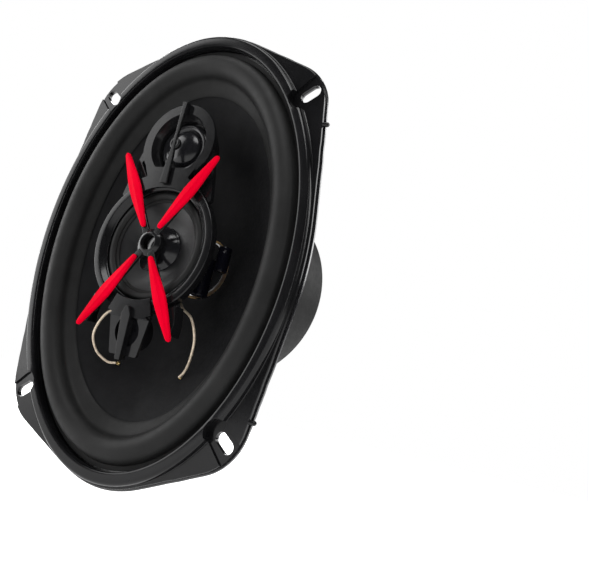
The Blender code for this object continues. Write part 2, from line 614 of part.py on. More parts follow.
def tweeter():
    at = (0.0, TWEETER_Y, 0.0)
    rim = arc(0, TWEETER_Y, TWEETER_R, -56, 90, 12)
    piece = slab("tweeter_housing", mirrored([(9.5, 34.6)] + rim), 10.4, TWEETER_FRONT, BLACK_PLASTIC)
    neck = slab("tweeter_neck", mirrored([(25.4, 22.0), (27.9, 23.4), (25.3, 36.5), (21.5, 50.5)]), 8.2,
                10.8, None)
    tab = slab("tweeter_tab", tab_outline(1, 27.0, 28.9, 36.4, 38.5), TAB_BACK - 0.2, TAB_FRONT, None)
    tab_base = slab("tweeter_tab_clear", arc(0, MID_Y, MID_R + 0.35, 0, 350, 48), 6.0, TAB_BACK, None)
    cup = [(0.0, 11.0), (18.5, 11.0), (18.5, 9.0), (17.2, 2.0), (14.8, 0.4), (14.6, -3.2), (0.0, -3.2)]
    fuse(piece, turned("tweeter_cup", cup, None, at=at), neck, tab)
    cut(piece, tab_base)
    bore = [(0.0, 13.0), (16.8, 13.0), (14.8, 8.4), (14.4, 7.6), (14.4, 4.6), (13.0, 4.6), (13.0, -2.0),
            (0.0, -2.0)]
    cut(piece, turned("tweeter_bore", bore, None, at=at))
    for sx in (-1, 1):
        slot = slab(f"tweeter_slot_{sx}", oblong(11.0, 2.4), 5.0, 13.0, None, at=(sx * 17.2, 38.2, 0.0),
                    turn=(0.0, 0.0, sx * math.radians(52)))
        cut(piece, slot)
    yoke = [(0.0, -0.2), (10.3, -0.2), (10.3, 4.2), (12.6, 4.2), (12.6, -1.7), (0.0, -1.7)]
    turned("tweeter_yoke", yoke, ZINC, at=at, steps=SMALL)
    turned("tweeter_magnet", [(0.0, 2.0), (8.3, 2.0), (8.3, 0.1), (0.0, 0.1)], FERRITE, at=at, steps=SMALL)
    turned("tweeter_pole_plate", [(0.0, 4.4), (8.6, 4.4), (8.6, 2.3), (0.0, 2.3)], ZINC, at=at, steps=SMALL)
    turned("tweeter_coil", [(9.1, 5.1), (9.7, 5.1), (9.7, 1.5), (9.1, 1.5)], COPPER, TWEETER_AXIS,
           steps=SMALL)
    dome = [(9.6 * math.sin(t), 6.2 + 3.6 * math.cos(t)) for t in [math.pi / 2 * i / 4 for i in range(5)]]
    turned("tweeter_dome", dome + [(10.3, 5.9), (11.2, 6.7), (12.4, 6.7), (13.7, 5.9)], GLOSS,
           TWEETER_AXIS, skin=0.3)
    bar = mirrored([(2.2, 29.6), (1.5, 44.0), (1.0, 48.2), (0.8, 54.0), (1.4, 73.6)])
    slats = slab("tweeter_bar", bar, 13.9, 15.4, BLACK_PLASTIC)
    fuse(slats, turned("tweeter_hub", [(0.0, 15.0), (2.7, 15.0), (3.0, 14.6), (3.0, 13.0), (0.0, 13.0)], None,
                       at=(0.0, 51.0, 0.0), steps=SMALL))
    fuse(slats, slab("bar_foot", mirrored([(1.3, 66.9), (1.4, 73.6)]), TWEETER_FRONT + GAP, 14.5, None))
    cut(slats, turned("hub_hole", [(0.0, 16.0), (1.4, 16.0), (1.4, 12.0), (0.0, 12.0)], None,
                      at=(0.0, 51.0, 0.0), steps=SMALL))


# ---------------------------------------------------------------- super tweeter

def super_tweeter():
    """A tapered pod under the mid-range, tilted a little away from the front."""
    down = -POD_PIVOT[1]
    plate = mirrored([(8.4, -56.6 + down), (12.4, -2.7)])
    piece = slab("super_tweeter_housing", plate, -1.6, 0.0, BLACK_PLASTIC, POD_FRAME)
    cup_at = (0.0, -45.0 + down, 0.0)
    cup = [(0.0, -1.0), (9.0, -1.0), (9.0, -8.6), (8.0, -9.6), (0.0, -9.6)]
    fuse(piece, turned("pod_cup", cup, None, POD_FRAME, cup_at, SMALL))
    fuse(piece, slab("pod_tab", tab_outline(-1, 21.0, 28.9, 37.6, -38.4), TAB_BACK - 0.6, TAB_FRONT, None))
    cut(piece, slab("pod_tab_clear", arc(0, MID_Y, MID_R + 0.35, 0, 350, 48), 4.0, TAB_BACK, None))
    bore = [(0.0, 1.0), (7.3, 1.0), (7.3, -8.0), (0.0, -8.0)]
    cut(piece, turned("pod_bore", bore, None, POD_FRAME, cup_at, SMALL))
    bar = mirrored([(1.5, -58.8 + down), (2.7, -3.0), (0.9, 1.0)])
    rib = mirrored([(1.2, -58.8 + down), (1.7, -4.6)])
    fuse(piece, slab("pod_bar", bar, 1.4, 3.3, None, POD_FRAME),
         slab("pod_rib", rib, -1.2, 1.8, None, POD_FRAME))
    cone = [(0.0, -2.6), (3.0, -3.0), (6.3, -2.0)]
    turned("super_tweeter_diaphragm", cone, GLOSS, POD_FRAME, cup_at, SMALL, skin=0.5)
    turned("super_tweeter_element", [(0.0, -4.2), (5.8, -4.2), (5.8, -5.0), (0.0, -5.0)], BRASS,
           POD_FRAME, cup_at, SMALL)


def capacitors():
    """Two small electrolytic capacitors glued behind the mid-range housing."""
    for name, radius, x, h, low, high in (("capacitor_large", 4.4, 13.0, -19.2, -18.0, 2.0),
                                          ("capacitor_small", 3.5, 22.6, -18.6, -4.0, 9.0)):
        side = [(0.0, high), (radius - 0.5, high), (radius, high - 0.5), (radius, high - 2.0),
                (radius - 0.4, high - 2.6), (radius, high - 3.2), (radius, low + 0.5), (radius - 0.5, low),
                (0.0, low)]
        piece = turned(name, side, SLEEVE, at=(x, 0.0, h), steps=SMALL)
        piece.rotation_euler = (-math.pi / 2, 0.0, 0.0)


basket()
trim_ring()
surround()
spider()
motor()
woofer()
terminals()
leads()
mid_range()
bridge()
blades()
tweeter()
super_tweeter()
capacitors()
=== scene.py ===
"""Looks of the coaxial car speaker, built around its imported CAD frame.

Pieces are drawn face on, in millimetres: x to the right, y up and h forwards,
out of the speaker's front.  FACE turns that drawing upright and into metres.
"""

import json
import math

import bmesh
import bpy
from mathutils import Matrix, Vector


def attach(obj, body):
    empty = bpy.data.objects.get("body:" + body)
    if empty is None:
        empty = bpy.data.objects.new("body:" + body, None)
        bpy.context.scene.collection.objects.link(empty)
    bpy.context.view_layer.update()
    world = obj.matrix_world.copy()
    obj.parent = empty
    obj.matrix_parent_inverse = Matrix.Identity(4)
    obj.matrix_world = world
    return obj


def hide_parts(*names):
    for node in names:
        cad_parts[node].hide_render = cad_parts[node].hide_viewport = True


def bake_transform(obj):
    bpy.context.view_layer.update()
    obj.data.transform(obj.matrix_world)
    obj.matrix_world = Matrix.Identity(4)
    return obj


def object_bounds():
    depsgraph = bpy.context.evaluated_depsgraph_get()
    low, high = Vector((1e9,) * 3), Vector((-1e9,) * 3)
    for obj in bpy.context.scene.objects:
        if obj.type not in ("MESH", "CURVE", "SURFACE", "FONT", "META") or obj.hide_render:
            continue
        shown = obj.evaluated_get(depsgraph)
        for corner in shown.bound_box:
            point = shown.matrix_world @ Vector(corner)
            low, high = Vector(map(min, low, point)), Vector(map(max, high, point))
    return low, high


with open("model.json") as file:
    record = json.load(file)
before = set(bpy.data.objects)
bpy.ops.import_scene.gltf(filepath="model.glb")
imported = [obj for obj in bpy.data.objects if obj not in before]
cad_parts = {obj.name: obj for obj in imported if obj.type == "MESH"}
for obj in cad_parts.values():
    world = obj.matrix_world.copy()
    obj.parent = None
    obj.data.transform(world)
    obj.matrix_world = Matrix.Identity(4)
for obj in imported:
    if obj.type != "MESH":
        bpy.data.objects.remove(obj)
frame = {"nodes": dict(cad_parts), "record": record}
CAD_BOX = [list(corner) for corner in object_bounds()]
NODES = frame["nodes"]
SLOT_OF = {part["node"]: part["material_slot"] for part in frame["record"]["subparts"]}
FIXED, WOOFER, MID, TWEETER = "speaker_frame", "woofer_moving", "mid_moving", "tweeter_moving"

MM = 0.001
SHEET = 1.2                                    # thickness of the basket's steel
FACE = Matrix.Rotation(math.radians(90), 4, "X") @ Matrix.Scale(MM, 4)
POD_TILT = math.radians(6.5)                   # tilt of the super tweeter's plate
POD = FACE @ Matrix.Translation((0.0, -34.0, 12.3)) @ Matrix.Rotation(POD_TILT, 4, "X")
BOWL_SLOPE = math.pi - math.atan2(33.0, 50.0)  # the terminal board lies on the bowl's slope
SEAT = FACE @ Matrix.Translation((0.0, -59.4, -41.6)) @ Matrix.Rotation(BOWL_SLOPE, 4, "X")
MID_Y, TWEETER_Y = -0.8, 51.9                  # heights of the two drivers' axes
BLADE_ANGLE = math.atan2(45.5, 28.7)           # a red blade's angle from level
EYELET_X, EYELET_Y = 20.3, -60.1               # where the leads pass the cone


# ---------------------------------------------------------------- camera

CAMERA_PLACE = (0.22311, -0.26313, -0.06618)
CAMERA_RIGHT, CAMERA_DOWN = Vector((0.87122, 0.43451, 0.22842)), Vector((0.11376, 0.27394, -0.95500))
SENSOR_MM, LENS_MM, NEAREST = 36.0, 41.92, 0.01


def make_camera():
    """The photograph's view: close up, from the right and a little below."""
    camera = bpy.data.objects.new("camera", bpy.data.cameras.new("camera"))
    bpy.context.scene.collection.objects.link(camera)
    forward = CAMERA_RIGHT.cross(CAMERA_DOWN)
    turn = Matrix((CAMERA_RIGHT, -CAMERA_DOWN, -forward)).transposed().to_4x4()
    camera.matrix_world = Matrix.Translation(CAMERA_PLACE) @ turn
    camera.data.sensor_width = SENSOR_MM
    camera.data.lens = LENS_MM
    camera.data.clip_start = NEAREST
    bpy.context.scene.camera = camera


make_camera()


# ---------------------------------------------------------------- materials

NOISE_LOW, NOISE_HIGH = 0.3, 0.7        # nearly all of a noise texture lies between these
GRAIN_DEPTH = 0.0001
COAT_ROUGHNESS = 0.12
LABEL_REACH = 0.05                      # distance from the label's centre that its ring colours span


def node(tree, kind, **values):
    """A shader node with its inputs set by name."""
    made = tree.nodes.new(kind)
    for name, value in values.items():
        made.inputs[name.replace("_", " ")].default_value = value
    return made


def ramp(tree, source, low, high, dark, light):
    """Colours between dark and light as the source goes from low to high."""
    made = tree.nodes.new("ShaderNodeValToRGB")
    made.color_ramp.elements[0].position = low
    made.color_ramp.elements[1].position = high
    made.color_ramp.elements[0].color = (*dark, 1.0)
    made.color_ramp.elements[1].color = (*light, 1.0)
    tree.links.new(source, made.inputs["Fac"])
    return made.outputs["Color"]


def spread(tree, source, low, high):
    """A noise source mapped to run from low to high."""
    made = tree.nodes.new("ShaderNodeMapRange")
    made.inputs["From Min"].default_value = NOISE_LOW
    made.inputs["From Max"].default_value = NOISE_HIGH
    made.inputs["To Min"].default_value = low
    made.inputs["To Max"].default_value = high
    tree.links.new(source, made.inputs["Value"])
    return made.outputs["Result"]


def noise(tree, place, scale, detail=4.0, rough=0.55):
    made = node(tree, "ShaderNodeTexNoise", Scale=scale, Detail=detail, Roughness=rough)
    tree.links.new(place, made.inputs["Vector"])
    return made.outputs["Fac"]


def bumped(tree, shader, source, strength, depth):
    made = node(tree, "ShaderNodeBump", Strength=strength, Distance=depth)
    tree.links.new(source, made.inputs["Height"])
    tree.links.new(made.outputs["Normal"], shader.inputs["Normal"])


def finish(name, dark, light, rough, metallic=0.0, patches=55.0, grain=2600.0, bump=0.12, specular=0.5,
           coat=0.0, relief=None):
    """A finish whose colour and roughness wander slowly and whose grain is a
    fine bump; relief(tree, place) gives another height in place of the grain."""
    made = bpy.data.materials.new(name)
    made.use_nodes = True
    tree = made.node_tree
    shader = tree.nodes["Principled BSDF"]
    place = tree.nodes.new("ShaderNodeTexCoord").outputs["Object"]
    slow = noise(tree, place, patches)
    tree.links.new(ramp(tree, slow, NOISE_LOW, NOISE_HIGH, dark, light), shader.inputs["Base Color"])
    tree.links.new(spread(tree, noise(tree, place, patches * 7), *rough), shader.inputs["Roughness"])
    height = relief(tree, place) if relief else noise(tree, place, grain, 3.0)
    bumped(tree, shader, height, bump, GRAIN_DEPTH)
    shader.inputs["Metallic"].default_value = metallic
    shader.inputs["Specular IOR Level"].default_value = specular
    shader.inputs["Coat Weight"].default_value = coat
    shader.inputs["Coat Roughness"].default_value = COAT_ROUGHNESS
    return made


def wave(tree, place, scale, axis, distortion=0.0):
    made = tree.nodes.new("ShaderNodeTexWave")
    made.bands_direction = axis
    made.inputs["Scale"].default_value = scale
    made.inputs["Distortion"].default_value = distortion
    tree.links.new(place, made.inputs["Vector"])
    return made.outputs["Fac"]


def product(tree, a, b, operation="MULTIPLY"):
    made = tree.nodes.new("ShaderNodeMath")
    made.operation = operation
    tree.links.new(a, made.inputs[0])
    tree.links.new(b, made.inputs[1])
    return made.outputs["Value"]


def woven(tree, place):
    """Crossing threads, 0.6 mm apart."""
    return product(tree, wave(tree, place, 520.0, "X"), wave(tree, place, 520.0, "Z"))


def wound(tree, place):
    """Turns of fine wire across the speaker's axis."""
    return wave(tree, place, 1100.0, "Y")


def braided(tree, place):
    """Crossing strands on a lead, from the tube's own u and v."""
    strands = tree.nodes.new("ShaderNodeUVMap").outputs["UV"]
    return product(tree, wave(tree, strands, 5.0, "DIAGONAL"), wave(tree, strands, 3.0, "X"), "MAXIMUM")


def fibrous(tree, place):
    """Pressed paper: long soft fibres over a fine pitting."""
    return product(tree, noise(tree, place, 700.0, 8.0, 0.7), noise(tree, place, 4200.0, 2.0), "ADD")


def label_finish():
    """Grey film with plain rings: a dark rim and one thin red circle."""
    made = finish("label_film", (0.26, 0.26, 0.27), (0.3, 0.3, 0.31), (0.3, 0.38), grain=1800.0, bump=0.05)
    tree = made.node_tree
    place = tree.nodes.new("ShaderNodeTexCoord").outputs["Object"]
    flat = tree.nodes.new("ShaderNodeVectorMath")
    flat.operation = "MULTIPLY"
    flat.inputs[1].default_value = (1.0, 0.0, 1.0)
    tree.links.new(place, flat.inputs[0])
    length = tree.nodes.new("ShaderNodeVectorMath")
    length.operation = "LENGTH"
    tree.links.new(flat.outputs["Vector"], length.inputs[0])
    scaled = tree.nodes.new("ShaderNodeMath")
    scaled.operation = "MULTIPLY"
    scaled.inputs[1].default_value = 1.0 / LABEL_REACH
    tree.links.new(length.outputs["Value"], scaled.inputs[0])
    rings = tree.nodes.new("ShaderNodeValToRGB")
    rings.color_ramp.interpolation = "CONSTANT"
    grey, red, black = (0.27, 0.27, 0.28, 1.0), (0.6, 0.01, 0.02, 1.0), (0.02, 0.02, 0.02, 1.0)
    rings.color_ramp.elements[0].color = black
    rings.color_ramp.elements[1].position = 0.26
    rings.color_ramp.elements[1].color = grey
    for position, colour in ((0.60, red), (0.625, grey), (0.74, black), (0.885, grey)):
        rings.color_ramp.elements.new(position).color = colour
    tree.links.new(scaled.outputs["Value"], rings.inputs["Fac"])
    tree.links.new(rings.outputs["Color"], tree.nodes["Principled BSDF"].inputs["Base Color"])
    return made


FINISH = {
    "black_steel": finish("painted_steel", (0.006, 0.006, 0.007), (0.010, 0.010, 0.011), (0.20, 0.30),
                          grain=900.0, bump=0.10, coat=0.3),
    "black_plastic": finish("moulded_plastic", (0.003, 0.003, 0.0033), (0.006, 0.006, 0.0065), (0.13, 0.17),
                            grain=2600.0, bump=0.04, specular=0.17),
    "rubber_black": finish("matte_rubber", (0.008, 0.008, 0.008), (0.012, 0.012, 0.012), (0.46, 0.58),
                           grain=3200.0, bump=0.12, specular=0.09),
    "cone_paper": finish("pressed_paper", (0.0055, 0.0055, 0.006), (0.009, 0.009, 0.0095), (0.52, 0.66),
                         patches=90.0, bump=0.25, specular=0.05, relief=fibrous),
    "coated_cone": finish("coated_paper", (0.006, 0.006, 0.0065), (0.009, 0.009, 0.0095), (0.34, 0.44),
                          patches=90.0, bump=0.10, specular=0.22, relief=fibrous),
    "gloss_dome": finish("gloss_film", (0.005, 0.005, 0.006), (0.008, 0.008, 0.009), (0.15, 0.20),
                         grain=1500.0, bump=0.02, specular=0.22),
    "red_plastic": finish("red_moulding", (0.44, 0.0, 0.011), (0.50, 0.0, 0.014), (0.42, 0.52), grain=2200.0,
                          bump=0.05, specular=0.005),
    "zinc_plated_steel": finish("zinc_plate", (0.42, 0.42, 0.43), (0.55, 0.55, 0.56), (0.24, 0.38), 1.0,
                                grain=1400.0, bump=0.12),
    "ferrite": finish("ferrite_ceramic", (0.028, 0.028, 0.029), (0.055, 0.055, 0.056), (0.55, 0.75),
                      patches=160.0, grain=1600.0, bump=0.35),
    "copper_wire": finish("enamelled_wire", (0.42, 0.16, 0.05), (0.55, 0.24, 0.09), (0.25, 0.35), 0.9,
                          bump=0.5, relief=wound),
    "brass": finish("satin_brass", (0.50, 0.36, 0.14), (0.62, 0.46, 0.2), (0.25, 0.38), 1.0, grain=1800.0,
                    bump=0.1),
    "lead_braid": finish("braided_copper", (0.42, 0.34, 0.25), (0.66, 0.56, 0.44), (0.36, 0.5), 0.5,
                         patches=500.0, bump=0.9, relief=braided),
    "spider_cloth": finish("dipped_cloth", (0.32, 0.19, 0.06), (0.44, 0.28, 0.10), (0.65, 0.8), patches=120.0,
                           bump=0.7, relief=woven),
    "terminal_board": finish("laminate", (0.10, 0.045, 0.02), (0.15, 0.07, 0.03), (0.45, 0.6), grain=1200.0,
                             bump=0.15),
    "label": label_finish(),
    "capacitor_sleeve": finish("shrink_sleeve", (0.002, 0.002, 0.004), (0.004, 0.004, 0.007), (0.14, 0.22),
                               grain=700.0, bump=0.05, specular=0.15),
    "former_aluminium": finish("rolled_aluminium", (0.55, 0.55, 0.56), (0.68, 0.68, 0.69), (0.25, 0.35), 1.0,
                               grain=1500.0, bump=0.1),
}

for name, thing in NODES.items():
    thing.data.materials.clear()
    thing.data.materials.append(FINISH[SLOT_OF[name]])


# ---------------------------------------------------------------- outlines

def ellipse(a, b, h, steps):
    turns = [2 * math.pi * i / steps for i in range(steps)]
    return [(a * math.cos(t), b * math.sin(t), h) for t in turns]


def arc(x, y, radius, start, end, steps):
    turns = [math.radians(start + (end - start) * i / steps) for i in range(steps + 1)]
    return [(x + radius * math.cos(t), y + radius * math.sin(t)) for t in turns]


def mirrored(outline):
    return outline + [(-x, y) for x, y in reversed(outline) if x > 0.01]


def oblong(length, width, steps=12):
    half, radius = (length - width) / 2, width / 2
    return arc(half, 0, radius, -90, 90, steps) + arc(-half, 0, radius, 90, 270, steps)


def blend(a, b, share):
    return a + (b - a) * share


def softened(outline, radius, closed=True, steps=3):
    """The outline with each corner cut round."""
    count = len(outline)
    points = []
    for i, corner in enumerate(outline):
        if not closed and i in (0, count - 1):
            points.append(corner)
            continue
        here = Vector(corner)
        before, after = Vector(outline[i - 1]), Vector(outline[(i + 1) % count])
        start = here + (before - here).normalized() * min(radius, (before - here).length * 0.45)
        end = here + (after - here).normalized() * min(radius, (after - here).length * 0.45)
        for step in range(steps + 1):
            t = step / steps
            points.append(tuple(start * (1 - t) ** 2 + here * 2 * t * (1 - t) + end * t ** 2))
    return points


def turned_about(outline, angle, x, y):
    c, s = math.cos(angle), math.sin(angle)
    return [(x + px * c - py * s, y + px * s + py * c) for px, py in outline]


HALF_W, HALF_L = 82.2, 118.5
EAR_X, EAR_Y, EAR_R = 45.3, 74.0, 27.6


def flange_reach(theta):
    """Distance from the centre to the flange's edge at a polar angle."""
    best = 1e9
    for step in range(-80, 81):
        lean = math.radians(step)
        across, along = abs(math.cos(theta + lean)), abs(math.sin(theta + lean))
        oval = math.hypot(HALF_W * across, HALF_L * along)
        ear = EAR_X * across + EAR_Y * along + EAR_R
        best = min(best, max(oval, ear) / math.cos(lean))
    return best


AROUND = 240
REACHES = []
for index in range(AROUND):
    turn_angle = 2 * math.pi * index / AROUND
    polar = math.atan2(HALF_L * math.sin(turn_angle), HALF_W * math.cos(turn_angle))
    REACHES.append((polar, flange_reach(polar)))


def flange_loop(inset, h):
    return [((reach - inset) * math.cos(polar), (reach - inset) * math.sin(polar), h)
            for polar, reach in REACHES]


CONE_A, CONE_B, CONE_H = 60.4, 95.4, 0.9
CONE_NECK_R, CONE_NECK_H, CONE_CURVE = 17.2, -33.0, 0.92


def cone_loop(share, lift=0.0, steps=AROUND):
    """The cone's front face, from its edge at share 0 to its neck at 1."""
    h = blend(CONE_H, CONE_NECK_H, share ** CONE_CURVE)
    return ellipse(blend(CONE_A, CONE_NECK_R, share), blend(CONE_B, CONE_NECK_R, share), h + lift, steps)


# ---------------------------------------------------------------- shells

def lofted(rows, ring=False, caps=False):
    """Points and faces through rows of points; a ring ends on its first row."""
    around = len(rows[0])
    points = [point for row in rows for point in row]
    faces = []
    for row in range(len(rows) if ring else len(rows) - 1):
        below = (row + 1) % len(rows)
        for i in range(around):
            j = (i + 1) % around
            faces.append((row * around + i, row * around + j, below * around + j, below * around + i))
    if caps:
        last = (len(rows) - 1) * around
        faces += [tuple(reversed(range(around))), tuple(range(last, last + around))]
    return points, faces


def spun(profile, at=(0.0, 0.0), soft=0.25, steps=96):
    """A turned body from (r, h) points; one that reaches the axis closes there."""
    ring = profile[0][0] > 0.0
    line = softened(profile, soft, closed=ring) if soft else profile
    rows = [[(at[0] + x, at[1] + y, h) for x, y, h in ellipse(r, r, h, steps)] for r, h in line]
    return lofted(rows, ring=ring)


def skinned(profile, thickness, at=(0.0, 0.0), steps=96):
    """A turned sheet: an open (r, h) line given a thickness."""
    def row(r, h):
        return [(at[0] + x, at[1] + y, z) for x, y, z in ellipse(r, r, h, steps)]

    return lofted(sheet_rows(profile, thickness, row), ring=True)


def sheet_rows(profile, thickness, row):
    """Front rows, then back rows, of a sheet along an open line."""
    front, back = [], []
    for i, (r, h) in enumerate(profile):
        before, after = profile[max(i - 1, 0)], profile[min(i + 1, len(profile) - 1)]
        along = Vector((after[0] - before[0], after[1] - before[1])).normalized()
        side = Vector((-along.y, along.x)) * thickness / 2
        front.append(row(max(r + side.x, 0.0), h + side.y))
        back.append(row(max(r - side.x, 0.0), h - side.y))
    return front + back[::-1]


def slab(outline, back, front):
    return lofted([[(x, y, back) for x, y in outline], [(x, y, front) for x, y in outline]], caps=True)


def smooth_route(route, per_point):
    knots = [Vector(p) for p in route]
    knots = [knots[0] * 2 - knots[1]] + knots + [knots[-1] * 2 - knots[-2]]
    points = []
    for a, b, c, d in zip(knots, knots[1:], knots[2:], knots[3:]):
        for step in range(per_point):
            t = step / per_point
            points.append(0.5 * (2 * b + (c - a) * t + (2 * a - 5 * b + 4 * c - d) * t ** 2
                                 + (3 * b - a - 3 * c + d) * t ** 3))
    points.append(knots[-2])
    return points


def piped(route, radius, around=16):
    """A round wire along the route."""
    rows = []
    side = Vector((0.0, 0.0, 1.0))
    for i, point in enumerate(route):
        along = (route[min(i + 1, len(route) - 1)] - route[max(i - 1, 0)]).normalized()
        side = (side - along * side.dot(along)).normalized()
        other = along.cross(side)
        turns = [2 * math.pi * k / around for k in range(around)]
        rows.append([tuple(point + (side * math.cos(t) + other * math.sin(t)) * radius) for t in turns])
    return lofted(rows, caps=True)


# ---------------------------------------------------------------- pieces

def mesh_from(name, shells, place):
    points, faces = [], []
    for shell_points, shell_faces in shells:
        start = len(points)
        points += shell_points
        faces += [tuple(start + i for i in face) for face in shell_faces]
    mesh = bpy.data.meshes.new(name)
    mesh.from_pydata(points, [], faces)
    mesh.transform(place)
    return mesh


def tidied(mesh, weld):
    shape = bmesh.new()
    shape.from_mesh(mesh)
    if weld:
        bmesh.ops.remove_doubles(shape, verts=shape.verts, dist=2e-7)
    bmesh.ops.recalc_face_normals(shape, faces=shape.faces)
    shape.to_mesh(mesh)
    shape.free()


def baked(thing):
    """Applies the modifiers to the mesh."""
    seen = thing.evaluated_get(bpy.context.evaluated_depsgraph_get())
    mesh = bpy.data.meshes.new_from_object(seen)
    thing.modifiers.clear()
    thing.data = mesh


def piece(name, shells, stands_for, body=FIXED, place=FACE, cuts=(), adds=(), bevel=0.0, sharp=32.0,
          weld=True, moves=True, slot=None):
    """A shown piece, with its finish, riding on a body in place of CAD nodes."""
    nodes = [stands_for] if isinstance(stands_for, str) else list(stands_for)
    mesh = mesh_from(name, shells, place)
    tidied(mesh, weld)
    thing = bpy.data.objects.new(name, mesh)
    bpy.context.scene.collection.objects.link(thing)
    tools = []
    for operation, group in (("UNION", adds), ("DIFFERENCE", cuts)):
        for shell in group:
            mesh = mesh_from("tool", [shell], place)
            tidied(mesh, True)
            tool = bpy.data.objects.new("tool", mesh)
            bpy.context.scene.collection.objects.link(tool)
            boolean = thing.modifiers.new("cut", "BOOLEAN")
            boolean.operation = operation
            boolean.solver = "EXACT"
            boolean.object = tool
            tools.append(tool)
    if bevel:
        edge = thing.modifiers.new("edge", "BEVEL")
        edge.width = bevel * MM
        edge.segments = 3
        edge.limit_method = "ANGLE"
        edge.angle_limit = math.radians(38)
    if thing.modifiers:
        baked(thing)
    for tool in tools:
        bpy.data.objects.remove(tool, do_unlink=True)
    thing.data.materials.clear()
    chosen = slot or SLOT_OF[nodes[0]]
    thing.data.materials.append(FINISH[chosen])
    thing.data.shade_smooth()
    thing.data.set_sharp_from_angle(angle=math.radians(sharp))
    if bevel:
        even = thing.modifiers.new("even", "WEIGHTED_NORMAL")
        even.keep_sharp = True
        baked(thing)
    if nodes:
        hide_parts(*nodes)
    if moves:
        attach(thing, body)
    return thing


def stretched(thing, body, weights):
    """Bakes a piece's placement into its mesh; the piece is left unbent."""
    eased = [w * w * (3 - 2 * w) for w in (min(max(v, 0.0), 1.0) for v in weights)]
    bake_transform(thing)


def corners():
    return [(sx, sy) for sx in (-1, 1) for sy in (-1, 1)]


SLOT_X, SLOT_Y, SLOT_TURN = 63.0, 83.6, math.radians(36)


def slot_cuts():
    return [slab(turned_about(oblong(11.0, 6.0), sx * sy * SLOT_TURN, sx * SLOT_X, sy * SLOT_Y), -4.0, 12.0)
            for sx, sy in corners()]


# ---------------------------------------------------------------- basket

LEDGE_R, NECK_R, FLOOR_H, CORE_R = 54.0, 47.8, -48.8, 19.5


def bowl_size(share):
    narrowing = share ** 1.25
    return (blend(69.4, LEDGE_R, narrowing), blend(104.4, LEDGE_R, narrowing), blend(-6.0, -39.0, share))


def side_window(sx):
    """A cutter through the long side, drawn across (y, h) and pushed along x."""
    outline = softened([(27.0, -36.0), (48.0, -9.0), (-48.0, -9.0), (-27.0, -36.0)], 8.0, steps=8)
    rows = [[(sx * x, y, h) for y, h in outline] for x in (34.0, 90.0)]
    return lofted(rows, caps=True)


def end_window(sy):
    outline = softened([(20.0, 66.0), (31.0, 97.0), (-31.0, 97.0), (-20.0, 66.0)], 8.0, steps=8)
    return slab([(x, sy * y) for x, y in outline], -46.0, -2.5)


def rivet_places():
    return arc(0, 0, 37.0, 45, 315, 3)


def basket():
    outer = [(76.0, 111.0, SHEET), (71.0, 106.0, SHEET), (70.2, 105.2, 0.8), (69.8, 104.8, 0.0),
             (69.4, 104.4, -1.5)]
    outer += [bowl_size(step / 14) for step in range(15)]
    outer += [(53.2, 53.2, -39.6), (51.5, 51.5, -39.9), (49.0, 49.0, -40.1), (48.1, 48.1, -40.6),
              (NECK_R, NECK_R, -41.6),
              (NECK_R, NECK_R, -46.0), (47.4, 47.4, -47.0), (46.6, 46.6, -48.0), (45.6, 45.6, FLOOR_H),
              (CORE_R, CORE_R, FLOOR_H)]
    rows = [flange_loop(0.0, SHEET)] + [ellipse(a, b, h, AROUND) for a, b, h in outer]
    windows = [side_window(1), side_window(-1), end_window(1), end_window(-1)]
    piece("basket_shell", [thickened(rows)], "basket_frame", cuts=windows + slot_cuts(), bevel=0.25)


def thickened(rows):
    """A sheet's front rows closed with back rows one sheet thickness behind."""
    around = len(rows[0])
    back = []
    for index, row in enumerate(rows):
        before, after = rows[max(index - 1, 0)], rows[min(index + 1, len(rows) - 1)]
        moved = []
        for i in range(around):
            down = Vector(after[i]) - Vector(before[i])
            across = Vector(row[(i + 1) % around]) - Vector(row[i - 1])
            normal = down.cross(across).normalized()
            if normal.z > 0 or (abs(normal.z) < 1e-6 and normal.xy.dot(Vector(row[i]).xy) < 0):
                normal = -normal
            moved.append(tuple(Vector(row[i]) + normal * SHEET))
        back.append(moved)
    return lofted(rows + back[::-1], ring=True)


SPOKE_TURN = math.radians(47)


def louvres():
    """Plain stepped pads, one on each diagonal spoke of the bowl."""
    shells = []
    for sx, sy in corners():
        a, b, h = bowl_size(0.45)
        low_a, low_b, low_h = bowl_size(0.6)
        centre = Vector((sx * a * math.cos(SPOKE_TURN), sy * b * math.sin(SPOKE_TURN), h))
        lower = Vector((sx * low_a * math.cos(SPOKE_TURN), sy * low_b * math.sin(SPOKE_TURN), low_h))
        across = Vector((-sx * a * math.sin(SPOKE_TURN), sy * b * math.cos(SPOKE_TURN), 0.0)).normalized()
        down = (lower - centre).normalized()
        outward = across.cross(down).normalized()
        if outward.xy.dot(centre.xy) < 0:
            outward = -outward
        base = centre + outward * (SHEET - 0.2)
        for width, height, thick in ((17.0, 8.0, 1.0), (13.0, 4.6, 1.8)):
            outline = softened([(-width / 2, -height / 2), (width / 2, -height / 2), (width / 2, height / 2),
                                (-width / 2, height / 2)], 1.8, steps=5)
            rows = []
            for lift, shrink in ((0.0, 1.0), (thick * 0.6, 0.97), (thick, 0.86)):
                rows.append([tuple(base + across * x * shrink + down * y * shrink + outward * lift)
                             for x, y in outline])
            shells.append(lofted(rows, caps=True))
    piece("basket_louvres", shells, (), slot="black_steel", bevel=0.2)


basket()
louvres()


# ---------------------------------------------------------------- trim ring

TRIM_BACK, PLATE_H, BAND_H = 1.5, 3.8, 7.2


